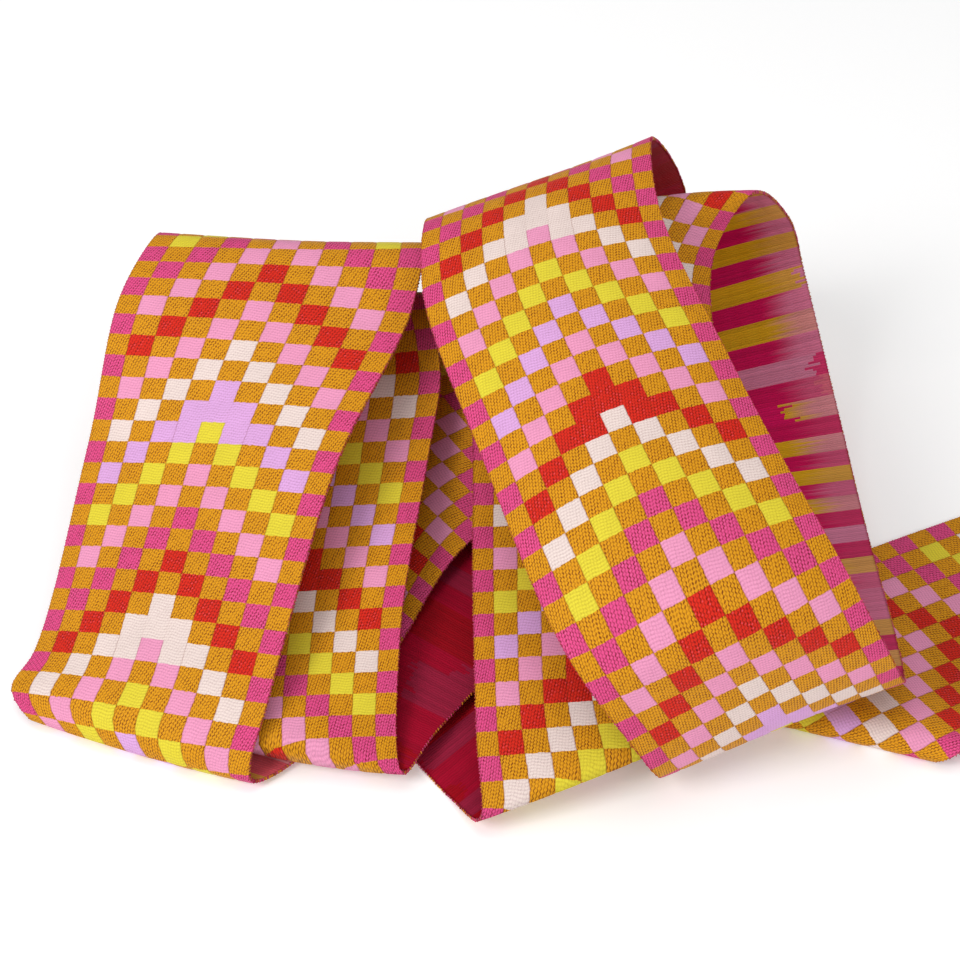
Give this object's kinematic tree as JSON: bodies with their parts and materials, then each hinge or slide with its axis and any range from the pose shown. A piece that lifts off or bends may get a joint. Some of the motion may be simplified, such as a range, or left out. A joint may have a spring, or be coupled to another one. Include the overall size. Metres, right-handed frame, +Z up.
{
  "type": "jacquard woven ribbon",
  "caption": "Wide patterned jacquard ribbon wound by hand into loose flat loops, lying on a surface with its tail running off to one side.",
  "frame": {"origin": "middle of the bounding box in X and Y, on the surface the ribbon lies on", "axes": "+X runs along the row of loops toward the tail, +Y goes away from the side with the tight bends, +Z is up"},
  "size_m": [0.1714, 0.1084, 0.0528],
  "materials": {
    "ribbon": "woven jacquard with a soft sheen, mustard ground with pink, red, cream and yellow cells"
  },
  "bodies": {
    "root": {"ribbon": "ribbon"}
  },
  "joints": []
}
